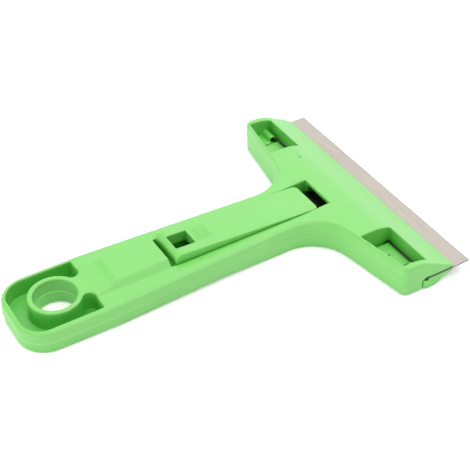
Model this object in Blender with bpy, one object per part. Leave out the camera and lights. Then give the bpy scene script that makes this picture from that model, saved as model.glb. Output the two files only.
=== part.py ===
"""Adhesive scraper: a wide blade clamped in a T-shaped plastic body by a cam lever.

Lengths are metres. In the design frame X runs along the handle towards the blade, Y along the
blade and Z up. X = 0 is the front end of the lever slot and Z = 0 is the top of the head. The
datum empty then moves the whole part, so that the world origin is the middle of its underside.
Left is +Y, seen from the handle.
"""
import bpy
import bmesh
from math import acos, asin, atan2, cos, degrees, hypot, pi, radians, sin, tan
from mathutils import Matrix, Vector

MM = 0.001

# Clearances shared by all pieces
GAP = 0.3 * MM               # between two pieces that touch
SIDE_PLAY = 0.5 * MM         # on each side of the lever
OVERRUN = 3 * MM             # how far a cutter passes the face that it cuts
ROUND_STEPS = 6              # facets in a small rounded corner
WIDE_STEPS = 16              # facets in a wide rounded corner
ROUND_SIDES = 28             # facets round a pin or a small hole

# Blade
BLADE_WIDTH = 150 * MM
BLADE_DEPTH = 26 * MM
BLADE_THICKNESS = 0.5 * MM
BLADE_REACH = 9.4 * MM       # bare steel in front of the lip
EDGE_GRIND = 1.2 * MM        # depth of the ground cutting edge
EDGE_LAND = 0.1 * MM         # thickness left at the very edge

# Head of the body
HEAD_HEIGHT = 17.3 * MM
HEAD_END_COVER = 0.25 * MM   # body past each end of the blade
NOSE_REACH = 31.3 * MM       # slot front to lip
NOSE_FLAT = 5.5 * MM         # slot front to where the top starts to fall
NOSE_RADIUS = 25 * MM
LIP_THICKNESS = 0.6 * MM
SEAT_DEPTH = 11.05 * MM      # head top to the face above the blade
END_CORNER_X = 0.9 * MM      # rear face of the head at its two ends
END_CORNER_RADIUS = 4 * MM
NECK_X = -8.7 * MM           # where the head's rear line meets the handle's side line
NECK_HALF = 15.7 * MM
NECK_RADIUS = 22 * MM

# Handle of the body
HANDLE_HALF = 22.2 * MM      # half width at the tail
HANDLE_THICKNESS = 14 * MM   # head top to handle underside
HANDLE_DROP = 0.9 * MM       # head top to handle top
SLOT_HALF = 11.5 * MM        # half width of the lever slot
TAPER_LENGTH = 44.8 * MM     # tail end to where the handle starts to narrow
TAIL_RADIUS = 15.5 * MM
RAMP_LENGTH = 13 * MM        # the handle top climbs to the head top over this length
RAMP_END = 3 * MM            # slot front to the top of the ramp
KEEL_START = 68 * MM         # slot front to where the underside starts to fall
KEEL_END = 27 * MM           # slot front to where it is as low as the head

# Moulded edges of the body: depth below the head top, then the inset of the handle and of the head
PARTING_DEPTH = 7.5 * MM
PARTING_STEP = 0.2 * MM
CHAMFER_DEPTH = 2.1 * MM
CHAMFER_WIDTH = 2.3 * MM
DRAFT = 0.25 * MM
TOP_ROUND = 1.2 * MM
BOTTOM_ROUND = 0.6 * MM
HANDLE_DRAFT = 0.6 * MM      # from the parting line to the underside
round_depth_shares = (0.55, 0.18, 0)       # shares of the top rounding, going up
round_inset_shares = (0.32, 0.62, 1)

# Stations along the handle, each from the one before it, starting at the slot's front end
SLOT_LENGTH = 92.5 * MM
REST_LENGTH = 39.8 * MM      # slot to the front of the tail pocket
BOSS_REACH = 16.5 * MM       # pocket front to the middle of the boss
TAIL_REACH = 24 * MM         # middle of the boss to the tail end

# Hanging boss and the pocket round it
BOSS_RADIUS = 13.5 * MM
HOLE_RADIUS = 10.75 * MM
HOLE_STEP = 0.8 * MM         # ledge in the bore at the parting line
POCKET_DEPTH = 11 * MM
POCKET_WALL = 2.9 * MM
POCKET_CORNER = 11.1 * MM
WEB_HALF = 7 * MM            # half width of the web from the boss to the handle
HORN_RADIUS = 3.6 * MM
BOSS_SIDES = 84

# Raised thumb rest between the boss and the lever
REST_FOOT_LENGTH = 8.7 * MM  # pocket front to the foot of the rise
REST_RISE_LENGTH = 3.2 * MM
REST_RISE_HEIGHT = 1.1 * MM
REST_HEIGHT = 2.5 * MM       # above the head top
REST_FRONT_HEIGHT = 2.8 * MM
REST_HALF = 9 * MM
REST_SIDE_RUN = 3 * MM       # width of each sloping side
WEB_FALL = 0.15 * MM         # pocket front to the middle of the boss

# Windows over the hinge blocks
WINDOW_END_WALL = 3.8 * MM
WINDOW_WIDTH = 29.4 * MM
WINDOW_REAR_WALL = 1.9 * MM
WINDOW_FLOOR = 10.5 * MM     # head top to the ledge in the outer part
BLADE_PEEK = 1 * MM          # strip of blade back seen at the window's front
BAY_MARGIN = 9 * MM          # outer end of the window to the hinge bay
HOOD_LENGTH = 7.8 * MM       # round-topped hood on the outer end wall
HOOD_WIDTH = 4.8 * MM
HOOD_TOP = 7.8 * MM          # head top to the hood's top
HOOD_WALL = 0.7 * MM
HOOD_FRONT_GAP = 0.9 * MM    # hood to the window's front wall
HOOD_DEPTH = 1 * MM          # window floor to the bottom of the space under the hood

# Joint between the body and the clamp jaw
JOINT_SETBACK = 2.7 * MM     # blade back to the body's joint face
JOINT_GAP = 0.6 * MM
GROOVE_RISE = 0.45 * MM      # relief groove over the blade's back edge
GROOVE_WIDTH = 1.4 * MM
GROOVE_DROP = 1.05 * MM      # seat to the top of the joint face

# Clamp jaw
JAW_BELLY = 18.4 * MM        # head top to the lowest line of the jaw
JAW_END_SETBACK = 0.3 * MM
JAW_TIP_SETBACK = 0.8 * MM   # lip to jaw tip
JAW_TIP_THICKNESS = 0.5 * MM
JAW_NOTCH_DEPTH = 1.5 * MM
JAW_HEEL_RISE = 1.2 * MM
JAW_BELLY_X = 4.4 * MM       # joint gap to the belly's front corner, along X
JAW_HEEL_X = 2.6 * MM
JAW_ROUND = 1.4 * MM

# Jaw hinge
HINGE_SETBACK = 3 * MM       # joint face to hinge axis
HINGE_RISE = 3.3 * MM        # head underside to hinge axis
HINGE_PIN_RADIUS = 1.5 * MM
HINGE_PIN_DEPTH = 5 * MM     # pin length in the outer socket
HINGE_BLOCK_GAP = 1.3 * MM   # inner window wall to block
HINGE_OUTER_GAP = 0.7 * MM
HINGE_REAR_GAP = 1 * MM
CORE_WALL = 2.7 * MM         # inner window wall, between window and cored pocket
CORE_START = 13.6 * MM       # middle plane to cored pocket
CORE_LENGTH = 8 * MM
CORE_ROOF = 3 * MM
JOINT_WALL = 1.4 * MM

# Lever
LEVER_FRONT_GAP = 6.5 * MM
LEVER_REAR_GAP = 2.8 * MM
LEVER_REAR_HEIGHT = 4.1 * MM      # above the head top, before the rounding
LEVER_FRONT_DROP = 1.1 * MM       # below the head top
LEVER_REAR_THICKNESS = 6.6 * MM
LEVER_WAIST_THICKNESS = 5.4 * MM
LEVER_REAR_ROUND = 4.2 * MM
LEVER_CORNER = 2.6 * MM
GRIP_HOLE = 10.7 * MM
GRIP_HOLE_REAR = 3.5 * MM         # lever rear to hole
RIDGE_COUNT = 7
RIDGE_PITCH = 1.3 * MM
RIDGE_WIDTH = 0.7 * MM
RIDGE_HEIGHT = 0.3 * MM
RIDGE_HALF = 5 * MM
RIDGE_START = 2.2 * MM            # hole to first ridge

# Lever pivot and cam
PIVOT_SETBACK = 4 * MM            # lever front to pivot
PIVOT_PIN_RADIUS = 1.5 * MM
PIVOT_PIN_BEARING = 2.5 * MM      # pin length in each slot wall
CAM_RADIUS = 3.5 * MM
CAM_OFFSET = 1.7 * MM

# Pressure plate and return spring on the jaw's tail
PLATE_THICKNESS = 0.8 * MM
PLATE_FRONT_X = 5 * MM
GUARD_SETBACK = 2.2 * MM          # lever front to the crest of the plate's sloping guard
GUARD_RUN = 0.9 * MM              # length of the plate's rise to the crest
GUARD_DROP = 3.6 * MM             # head top to the crest
GUARD_FALL = 3.7 * MM             # crest to the guard's front edge
PLATE_REAR_SETBACK = 0.5 * MM
PLATE_SIDE_SETBACK = 0.5 * MM
STAKE_RADIUS = 1.2 * MM
STAKE_SETBACK = 0.8 * MM          # lever front to the stakes
STAKE_Y = 5 * MM
TAIL_THICKNESS = 2.7 * MM
TAIL_REAR = 4.5 * MM              # pivot to the tail's end
TAIL_HALF = 8.5 * MM
TAIL_SIDE_GAP = 0.8 * MM
TAIL_ROOF_GAP = 1.2 * MM
GUARD_SKIN = 2.5 * MM             # head top to the roof over the guard
GUARD_ROOM = 2 * MM               # guard to the wall in front of it
SPRING_THICKNESS = 0.4 * MM
SPRING_BOW = 0.4 * MM
SPRING_HALF = 4 * MM
SPRING_REAR_X = -13 * MM
SPRING_FRONT_X = 5 * MM
SPRING_STOP = 1.2 * MM            # length of each stop on the cover
SPRING_STEPS = 10

# Handle cover
COVER_THICKNESS = 1.6 * MM
COVER_SIDE_MARGIN = 2.7 * MM     # cover past each side of the slot
COVER_REAR_MARGIN = 2.2 * MM     # cover past the cored pocket behind the slot
COVER_CORNER = 3 * MM
WING_REAR_X = -10 * MM
WING_FRONT_X = 0.5 * MM
WING_MARGIN = 9.5 * MM           # wing past each side of the slot
TONGUE_MARGIN = 1.7 * MM         # tongue past each side of the tail's cavity
REAR_CORE_HALF = 9.5 * MM
REAR_CORE_ROOF = 1.6 * MM
REAR_CORE_SETBACK = 11.8 * MM    # tail pocket to cored pocket
SLOT_REAR_WALL = 2.2 * MM
SCREW_BOSS_RADIUS = 3.8 * MM

# Cover screws
SCREW_RADIUS = 1.25 * MM
SCREW_LENGTH = 9 * MM
SCREW_HEAD_RADIUS = 2.6 * MM
SCREW_HEAD_HEIGHT = 1.1 * MM
SCREW_SINK = 0.1 * MM
RECESS_WIDTH = 0.6 * MM
RECESS_DEPTH = 0.7 * MM
recess_length_share = 1.3          # of the head's radius
REAR_SCREW_SETBACK = 15.5 * MM     # slot to rear screw
FRONT_SCREW_X = -5 * MM
FRONT_SCREW_MARGIN = 3.5 * MM      # wing edge to front screw

# Levels and places that follow from the sizes above
LIP_X = NOSE_REACH
BLADE_FRONT_X = LIP_X + BLADE_REACH
BLADE_BACK_X = BLADE_FRONT_X - BLADE_DEPTH
SLOT_REAR_X = -SLOT_LENGTH
POCKET_FRONT_X = SLOT_REAR_X - REST_LENGTH
BOSS_X = POCKET_FRONT_X - BOSS_REACH
TAIL_X = BOSS_X - TAIL_REACH
REST_RISE_X = POCKET_FRONT_X + REST_FOOT_LENGTH
REST_TOP_X = REST_RISE_X + REST_RISE_LENGTH
HEAD_HALF = BLADE_WIDTH / 2 + HEAD_END_COVER
SEAT_Z = -SEAT_DEPTH
BLADE_TOP_Z = SEAT_Z - GAP
BLADE_BOTTOM_Z = BLADE_TOP_Z - BLADE_THICKNESS
JAW_SEAT_Z = BLADE_BOTTOM_Z - GAP
JOINT_X = BLADE_BACK_X - JOINT_SETBACK
JAW_REAR_X = JOINT_X + JOINT_GAP
HINGE_X = JOINT_X - HINGE_SETBACK
HINGE_Z = HINGE_RISE - HEAD_HEIGHT
WINDOW_FRONT_X = BLADE_BACK_X + BLADE_PEEK
WINDOW_OUTER_Y = HEAD_HALF - WINDOW_END_WALL
WINDOW_INNER_Y = WINDOW_OUTER_Y - WINDOW_WIDTH
HOOD_INNER_Y = WINDOW_OUTER_Y - HOOD_LENGTH
BAY_OUTER_Y = WINDOW_OUTER_Y - BAY_MARGIN
BLOCK_INNER_Y = WINDOW_INNER_Y + HINGE_BLOCK_GAP
BLOCK_OUTER_Y = BAY_OUTER_Y - HINGE_OUTER_GAP
BLOCK_FRONT_X = BLADE_BACK_X - GAP - GAP / 2
LEVER_FRONT_X = -LEVER_FRONT_GAP
LEVER_REAR_X = SLOT_REAR_X + LEVER_REAR_GAP
LEVER_HALF = SLOT_HALF - SIDE_PLAY
PIVOT_X = LEVER_FRONT_X - PIVOT_SETBACK
STAKE_X = LEVER_FRONT_X - STAKE_SETBACK
CREST_X = LEVER_FRONT_X + GUARD_SETBACK
COVER_TOP_Z = COVER_THICKNESS - HEAD_HEIGHT
SPRING_BOTTOM_Z = COVER_TOP_Z + GAP
SPRING_TOP_Z = SPRING_BOTTOM_Z + SPRING_BOW + SPRING_THICKNESS
TAIL_BOTTOM_Z = SPRING_TOP_Z + GAP
TAIL_TOP_Z = TAIL_BOTTOM_Z + TAIL_THICKNESS
PLATE_TOP_Z = TAIL_TOP_Z + GAP + PLATE_THICKNESS
CAM_Z = PLATE_TOP_Z + GAP + CAM_RADIUS
PIVOT_Z = CAM_Z + CAM_OFFSET
TAIL_END_X = PIVOT_X - TAIL_REAR
TAIL_CAVITY_HALF = TAIL_HALF + TAIL_SIDE_GAP
REAR_CORE_REAR_X = POCKET_FRONT_X + REAR_CORE_SETBACK
COVER_REAR_X = REAR_CORE_REAR_X - COVER_REAR_MARGIN
COVER_HALF = SLOT_HALF + COVER_SIDE_MARGIN
WING_HALF = SLOT_HALF + WING_MARGIN
TONGUE_HALF = TAIL_CAVITY_HALF + TONGUE_MARGIN
REAR_SCREW_X = SLOT_REAR_X - REAR_SCREW_SETBACK
FRONT_SCREW_Y = WING_HALF - FRONT_SCREW_MARGIN
CUT_TOP = LEVER_REAR_HEIGHT + OVERRUN
CUT_BOTTOM = -JAW_BELLY - OVERRUN
HANDLE_TOP_Z = -HANDLE_DROP
HANDLE_BOTTOM_Z = -HANDLE_THICKNESS
POCKET_FLOOR_Z = -POCKET_DEPTH


def clear_scene():
    """Remove every object that the file opened with."""
    for item in list(bpy.data.objects):
        bpy.data.objects.remove(item, do_unlink=True)


def make_collection(name):
    """Add a collection to the scene."""
    collection = bpy.data.collections.new(name)
    bpy.context.scene.collection.children.link(collection)
    return collection


def make_material(name, colour, roughness, metallic=0.0):
    """A plain material with one colour."""
    material = bpy.data.materials.new(name)
    material.use_nodes = True
    shader = material.node_tree.nodes["Principled BSDF"]
    shader.inputs["Base Color"].default_value = (*colour, 1.0)
    shader.inputs["Roughness"].default_value = roughness
    shader.inputs["Metallic"].default_value = metallic
    return material


def arc(centre, radius, start, stop, steps):
    """Points along an arc, with its angles in degrees and both of its ends."""
    angles = [radians(start + (stop - start) * step / steps) for step in range(steps + 1)]
    return [(centre[0] + radius * cos(a), centre[1] + radius * sin(a)) for a in angles]


def rounded_outline(corners, insets=0.0, steps=ROUND_STEPS):
    """A closed outline, anticlockwise, from corners (u, v, radius).

    Each edge first moves inwards by its inset, one value for all or one for each corner's
    following edge. The corner radii follow the insets, so every result has as many points.
    """
    count = len(corners)
    if not isinstance(insets, (list, tuple)):
        insets = [insets] * count
    ways, reaches = [], []
    for i, (u, v, _) in enumerate(corners):
        next_u, next_v, _ = corners[(i + 1) % count]
        way = Vector((next_u - u, next_v - v)).normalized()
        inward = Vector((-way.y, way.x))
        ways.append(way)
        reaches.append(inward.dot(Vector((u, v))) + insets[i])
    points = []
    for i, (_, _, radius) in enumerate(corners):
        before, after = ways[i - 1], ways[i]
        turn = before.cross(after)
        normal_a = Vector((-before.y, before.x))
        normal_b = Vector((-after.y, after.x))
        solve = Matrix((normal_a, normal_b)).inverted()
        corner = solve @ Vector((reaches[i - 1], reaches[i]))
        if radius == 0.0:
            points.append(tuple(corner))
            continue
        side = 1.0 if turn > 0.0 else -1.0
        inset = (insets[i - 1] + insets[i]) / 2
        bend = max(radius - side * inset, GAP)
        angle = before.angle(after)
        start = corner - before * bend * tan(angle / 2)
        centre = start + normal_a * bend * side
        first = degrees(atan2(start.y - centre.y, start.x - centre.x))
        points += arc(centre, bend, first, first + side * degrees(angle), steps)
    return points


def finish_mesh(name, bm, collection):
    """Turn a bmesh into an object with outward faces."""
    bmesh.ops.recalc_face_normals(bm, faces=bm.faces)
    mesh = bpy.data.meshes.new(name)
    bm.to_mesh(mesh)
    bm.free()
    piece = bpy.data.objects.new(name, mesh)
    collection.objects.link(piece)
    piece.parent = datum
    return piece


def loft(name, rings, collection):
    """A closed solid through rings of points in space that have as many points each."""
    bm = bmesh.new()
    loops = [[bm.verts.new(point) for point in ring] for ring in rings]
    for lower, upper in zip(loops, loops[1:]):
        for i in range(len(lower)):
            j = (i + 1) % len(lower)
            bm.faces.new((lower[i], lower[j], upper[j], upper[i]))
    bm.faces.new(loops[0])
    bm.faces.new(loops[-1])
    return finish_mesh(name, bm, collection)


def extrude(name, outline, axis, low, high, collection):
    """An outline pushed along axis. It is in XY for axis Z, in XZ for Y and in YZ for X."""
    order = {"Z": (0, 1, 2), "Y": (0, 2, 1), "X": (2, 0, 1)}[axis]
    rings = []
    for level in (low, high):
        points = [(u, v, level) for u, v in outline]
        rings.append([[point[i] for i in order] for point in points])
    return loft(name, rings, collection)


def block(name, xs, ys, zs, collection):
    """A box between pairs of limits."""
    bm = bmesh.new()
    middle = [(low + high) / 2 for low, high in (xs, ys, zs)]
    size = [high - low for low, high in (xs, ys, zs)]
    shape = Matrix.Translation(middle) @ Matrix.Diagonal((*size, 1))
    bmesh.ops.create_cube(bm, size=1, matrix=shape)
    return finish_mesh(name, bm, collection)


def rod(name, start, axis, length, radius, collection, end_radius=None, sides=ROUND_SIDES):
    """A round bar or cone from start along +axis."""
    bm = bmesh.new()
    turns = {"X": Matrix.Rotation(pi / 2, 4, "Y"), "Y": Matrix.Rotation(-pi / 2, 4, "X"), "Z": Matrix()}
    move = Matrix.Translation(start) @ turns[axis] @ Matrix.Translation((0, 0, length / 2))
    tip = radius if end_radius is None else end_radius
    bmesh.ops.create_cone(
        bm, cap_ends=True, segments=sides, radius1=radius, radius2=tip, depth=length, matrix=move)
    return finish_mesh(name, bm, collection)


def combine(target, tool, operation):
    """Cut, join or intersect target with a tool, which is kept out of sight."""
    step = target.modifiers.new(tool.name, "BOOLEAN")
    step.operation = operation
    step.object = tool
    tool.hide_render = True
    tool.display_type = "WIRE"
    return target


def cut(target, tool):
    return combine(target, tool, "DIFFERENCE")


def join(target, tool):
    return combine(target, tool, "UNION")


def common(target, tool):
    return combine(target, tool, "INTERSECT")


def mirrored(points):
    """The points and their mirror images across the middle plane, as one loop."""
    return points + [(x, -y, *rest) for x, y, *rest in reversed(points)]


def body_plan():
    """Corners of the T-shaped plan, anticlockwise from the tail."""
    front = LIP_X + OVERRUN
    near_side = [
        (TAIL_X, -HANDLE_HALF, TAIL_RADIUS),
        (TAIL_X + TAPER_LENGTH, -HANDLE_HALF, 0.0),
        (NECK_X, -NECK_HALF, NECK_RADIUS),
        (END_CORNER_X, -HEAD_HALF, END_CORNER_RADIUS),
        (front, -HEAD_HALF, 0.0),
    ]
    return mirrored(near_side)


def body_insets(handle, head):
    """One inset for each edge of the plan, in the order of its corners."""
    near_side = [handle, handle, head, head]
    return near_side + [0.0] + near_side[::-1] + [handle]


def body_levels():
    """Heights of the moulded wall with the insets of the handle and of the head."""
    levels = [
        (-HEAD_HEIGHT, HANDLE_DRAFT + BOTTOM_ROUND, DRAFT + BOTTOM_ROUND),
        (BOTTOM_ROUND - HEAD_HEIGHT, HANDLE_DRAFT, DRAFT),
        (-PARTING_DEPTH - PARTING_STEP, PARTING_STEP, PARTING_STEP),
        (-PARTING_DEPTH, 0.0, 0.0),
        (-CHAMFER_DEPTH, DRAFT, DRAFT),
    ]
    chamfer_slope = (CHAMFER_WIDTH - DRAFT) / (CHAMFER_DEPTH - HANDLE_DROP)
    for depth_share, inset_share in zip(round_depth_shares, round_inset_shares):
        level = -TOP_ROUND * depth_share
        handle = DRAFT + chamfer_slope * (level + CHAMFER_DEPTH)
        levels.append((level, handle, DRAFT + (TOP_ROUND - DRAFT) * inset_share))
    return levels


def nose_curve():
    """Top of the nose in XZ, from the flat top of the head down to the lip."""
    lip = (LIP_X, LIP_THICKNESS + SEAT_Z)
    centre = (NOSE_FLAT, -NOSE_RADIUS)
    reach = hypot(lip[0] - centre[0], lip[1] - centre[1])
    facing = atan2(lip[1] - centre[1], lip[0] - centre[0])
    touch = degrees(facing + acos(NOSE_RADIUS / reach))
    curve = arc(centre, NOSE_RADIUS, 90, touch, WIDE_STEPS)
    return curve + [lip]


def extend_back(first, second, level):
    """The point at a height on the line through two points in XZ."""
    slope = (second[0] - first[0]) / (second[1] - first[1])
    return (first[0] + (level - first[1]) * slope, level)


def cut_side_profile(body):
    """Trim the body to its outline seen from the side."""
    behind = TAIL_X - OVERRUN
    ahead = LIP_X + 2 * OVERRUN
    width = HEAD_HALF + OVERRUN
    ramp_start = (-RAMP_END - RAMP_LENGTH, HANDLE_TOP_Z)
    ramp_end = extend_back(ramp_start, (-RAMP_END, 0.0), OVERRUN)
    over_handle = [(behind, HANDLE_TOP_Z), ramp_start, ramp_end, (behind, OVERRUN)]
    cut(body, extrude("over_handle", over_handle, "Y", -width, width, tools))
    keel_start = (-KEEL_START, HANDLE_BOTTOM_Z)
    keel_end = extend_back(keel_start, (-KEEL_END, -HEAD_HEIGHT), CUT_BOTTOM)
    under_handle = [(behind, HANDLE_BOTTOM_Z), (behind, CUT_BOTTOM), keel_end, keel_start]
    cut(body, extrude("under_handle", under_handle, "Y", -width, width, tools))
    curve = nose_curve()
    before = extend_back(curve[0], curve[1], OVERRUN)
    over_nose = [before] + curve[1:] + [(LIP_X, CUT_BOTTOM), (ahead, CUT_BOTTOM), (ahead, OVERRUN)]
    cut(body, extrude("over_nose", over_nose, "Y", -width, width, tools))


def add_thumb_rest(body):
    """The raised rest, its sloping sides and the web that joins it to the boss."""
    root_z = HANDLE_TOP_Z - OVERRUN
    profile = [
        (BOSS_X, root_z),
        (SLOT_REAR_X + OVERRUN, root_z),
        (SLOT_REAR_X + OVERRUN, REST_FRONT_HEIGHT),
        (SLOT_REAR_X, REST_FRONT_HEIGHT),
        (REST_TOP_X, REST_HEIGHT),
        (REST_RISE_X, REST_RISE_HEIGHT),
        (POCKET_FRONT_X, 0.0),
        (BOSS_X, -WEB_FALL),
    ]
    side_slope = REST_SIDE_RUN / (REST_HEIGHT - HANDLE_TOP_Z)
    top_half = REST_HALF - side_slope * (CUT_TOP - REST_HEIGHT)
    root_half = REST_HALF + side_slope * (REST_HEIGHT - root_z)
    section = [(-root_half, root_z), (root_half, root_z), (top_half, CUT_TOP), (-top_half, CUT_TOP)]
    rest = extrude("thumb_rest", profile, "Y", -root_half - OVERRUN, root_half + OVERRUN, tools)
    slopes = extrude("rest_slopes", section, "X", BOSS_X - OVERRUN, OVERRUN, tools)
    join(body, common(rest, slopes))


def cut_tail_pocket(body):
    """The hanging boss, the pocket that wraps round it and the stepped hole."""
    disc_radius = BOSS_RADIUS + OVERRUN / 2
    root_z = HANDLE_TOP_Z - OVERRUN
    join(body, rod("boss_disc", (BOSS_X, 0, root_z), "Z", -root_z, disc_radius, tools, sides=BOSS_SIDES))
    outer_y = HANDLE_HALF - POCKET_WALL
    rear_x = TAIL_X + POCKET_WALL
    meet = degrees(asin(WEB_HALF / BOSS_RADIUS))
    web_length = BOSS_REACH - BOSS_RADIUS * cos(radians(meet))
    horn_radius = min(HORN_RADIUS, web_length - GAP)
    round_boss = arc((BOSS_X, 0.0), BOSS_RADIUS, -meet, meet - 360, BOSS_SIDES)
    corners = [
        (POCKET_FRONT_X, outer_y, 0.0),
        (rear_x, outer_y, POCKET_CORNER),
        (rear_x, -outer_y, POCKET_CORNER),
        (POCKET_FRONT_X, -outer_y, 0.0),
        (POCKET_FRONT_X, -WEB_HALF, horn_radius),
    ]
    corners += [(x, y, 0.0) for x, y in round_boss]
    corners.append((POCKET_FRONT_X, WEB_HALF, horn_radius))
    outline = rounded_outline(corners, steps=WIDE_STEPS)
    cut(body, extrude("tail_pocket", outline, "Z", POCKET_FLOOR_Z, CUT_TOP, tools))
    ledge_z = -PARTING_DEPTH
    lower_radius = HOLE_RADIUS - HOLE_STEP
    hole_start = (BOSS_X, 0, ledge_z)
    cut(body, rod("hole_top", hole_start, "Z", OVERRUN - ledge_z, HOLE_RADIUS, tools, sides=BOSS_SIDES))
    lower_start = (BOSS_X, 0, HANDLE_BOTTOM_Z - OVERRUN)
    lower_length = ledge_z + 2 * OVERRUN - HANDLE_BOTTOM_Z
    cut(body, rod("hole_low", lower_start, "Z", lower_length, lower_radius, tools, sides=BOSS_SIDES))


def cut_lever_slot(body):
    """The slot for the lever, open to the cover below, and the cored pocket behind it."""
    slot = block("lever_slot", (SLOT_REAR_X, 0), (-SLOT_HALF, SLOT_HALF), (CUT_BOTTOM, CUT_TOP), tools)
    cut(body, slot)
    front = SLOT_REAR_X - SLOT_REAR_WALL
    half = REAR_CORE_HALF
    roof = HANDLE_TOP_Z - REAR_CORE_ROOF
    cut(body, block("rear_core", (REAR_CORE_REAR_X, front), (-half, half), (CUT_BOTTOM, roof), tools))
    boss_start = HANDLE_BOTTOM_Z + COVER_THICKNESS + GAP
    boss_length = roof + OVERRUN / 4 - boss_start
    join(body, rod("screw_boss", (REAR_SCREW_X, 0, boss_start), "Z", boss_length, SCREW_BOSS_RADIUS, tools))
    cavity_x = (TAIL_END_X - OVERRUN, JOINT_X + OVERRUN)
    cavity_y = (-TAIL_CAVITY_HALF, TAIL_CAVITY_HALF)
    cavity_roof = TAIL_TOP_Z + PLATE_THICKNESS + TAIL_ROOF_GAP
    cut(body, block("tail_cavity", cavity_x, cavity_y, (CUT_BOTTOM, cavity_roof), tools))
    guard_x = (CREST_X, PLATE_FRONT_X + GUARD_ROOM)
    cut(body, block("guard_cavity", guard_x, cavity_y, (CUT_BOTTOM, -GUARD_SKIN), tools))


def rear_x(y, setback=0.0):
    """The head's rear face at a distance from the middle plane, or a line in front of it."""
    slope = (END_CORNER_X - NECK_X) / (HEAD_HALF - NECK_HALF)
    return NECK_X + (y - NECK_HALF) * slope + setback


def beside_rear(side, inner, outer, setback, front_x):
    """A plan outline between two distances from the middle plane, from the rear line to front_x."""
    corners = [
        (rear_x(inner, setback), side * inner),
        (front_x, side * inner),
        (front_x, side * outer),
        (rear_x(outer, setback), side * outer),
    ]
    return corners


def span(side, inner, outer):
    """The two limits along Y of something that lies on one side."""
    return tuple(sorted((side * inner, side * outer)))


def arch(front_x, width, top, foot):
    """A round-topped outline in XZ, standing on its foot level."""
    radius = width / 2
    crown = arc((front_x - radius, top - radius), radius, 0, 180, 2 * ROUND_STEPS)
    return [(front_x - width, foot), (front_x, foot)] + crown


def window_steps(side, name):
    """The side view of a window: open to below in the hinge bay, with a ledge in its outer part."""
    inner = side * (WINDOW_INNER_Y - OVERRUN)
    bay = side * BAY_OUTER_Y
    outer = side * (WINDOW_OUTER_Y + OVERRUN)
    below = CUT_BOTTOM - OVERRUN
    above = CUT_TOP + OVERRUN
    outline = [
        (inner, below),
        (bay, below),
        (bay, -WINDOW_FLOOR),
        (outer, -WINDOW_FLOOR),
        (outer, above),
        (inner, above),
    ]
    return extrude("window_steps_" + name, outline, "X", NECK_X, WINDOW_FRONT_X + OVERRUN, tools)


def cut_windows(body, side, name):
    """One window, its hinge bay and hood, and the cored pocket that the hinge pin goes in by."""
    plan = beside_rear(side, WINDOW_INNER_Y, WINDOW_OUTER_Y, WINDOW_REAR_WALL, WINDOW_FRONT_X)
    window = extrude("window_" + name, plan, "Z", CUT_BOTTOM, CUT_TOP, tools)
    cut(body, common(window, window_steps(side, name)))
    hood_front = WINDOW_FRONT_X - HOOD_FRONT_GAP
    inside_front = hood_front - HOOD_WALL
    inside_width = HOOD_WIDTH - 2 * HOOD_WALL
    inside_x = (inside_front - inside_width, WINDOW_FRONT_X)
    sight_z = (-WINDOW_FLOOR - HOOD_DEPTH, OVERRUN - WINDOW_FLOOR)
    sight_y = span(side, BAY_OUTER_Y - OVERRUN, WINDOW_OUTER_Y)
    cut(body, block("sight_" + name, inside_x, sight_y, sight_z, tools))
    hood_y = span(side, HOOD_INNER_Y, WINDOW_OUTER_Y + WINDOW_END_WALL / 2)
    hood = arch(hood_front, HOOD_WIDTH, -HOOD_TOP, HINGE_Z)
    join(body, extrude("hood_" + name, hood, "Y", *hood_y, tools))
    under = arch(inside_front, inside_width, -HOOD_TOP - HOOD_WALL, sight_z[0])
    cut(body, extrude("under_hood_" + name, under, "Y", *sight_y, tools))
    core_front = JOINT_X - JOINT_WALL
    core_x = (core_front - CORE_LENGTH, core_front)
    core_y = span(side, CORE_START, WINDOW_INNER_Y - CORE_WALL)
    cut(body, block("core_" + name, core_x, core_y, (CUT_BOTTOM, -CORE_ROOF), tools))


def cut_jaw_space(body):
    """Everything below the blade seat, with the relief groove over the blade's back edge."""
    width = HEAD_HALF + OVERRUN
    ahead = LIP_X + OVERRUN
    outline = [
        (JOINT_X, CUT_BOTTOM),
        (ahead, CUT_BOTTOM),
        (ahead, SEAT_Z),
        (BLADE_BACK_X + GROOVE_WIDTH, SEAT_Z),
        (BLADE_BACK_X - GAP, SEAT_Z + GROOVE_RISE),
        (JOINT_X, SEAT_Z - GROOVE_DROP),
    ]
    cut(body, extrude("jaw_space", outline, "Y", -width, width, tools))


def cover_plan(front_x):
    """Corners of the cover's plan, anticlockwise from its rear end."""
    near_side = [
        (COVER_REAR_X, -COVER_HALF, COVER_CORNER),
        (WING_REAR_X, -COVER_HALF, 0.0),
        (WING_REAR_X, -WING_HALF, COVER_CORNER),
        (WING_FRONT_X, -WING_HALF, COVER_CORNER),
        (WING_FRONT_X, -TONGUE_HALF, 0.0),
        (front_x, -TONGUE_HALF, 0.0),
    ]
    return mirrored(near_side)


def underside_strip(thickness, low):
    """Side view of a layer of the underside, from the given depth below it up to a thickness."""
    behind = COVER_REAR_X - OVERRUN
    ahead = JOINT_X + 2 * OVERRUN
    line = [
        (behind, HANDLE_BOTTOM_Z),
        (-KEEL_START, HANDLE_BOTTOM_Z),
        (-KEEL_END, -HEAD_HEIGHT),
        (ahead, -HEAD_HEIGHT),
    ]
    lower = [(x, z - low) for x, z in line]
    upper = [(x, z + thickness) for x, z in reversed(line)]
    return lower + upper


def cover_screws():
    """Name, place and underside level of each cover screw."""
    return [
        ("rear", (REAR_SCREW_X, 0.0), HANDLE_BOTTOM_Z),
        ("left", (FRONT_SCREW_X, FRONT_SCREW_Y), -HEAD_HEIGHT),
        ("right", (FRONT_SCREW_X, -FRONT_SCREW_Y), -HEAD_HEIGHT),
    ]


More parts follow.
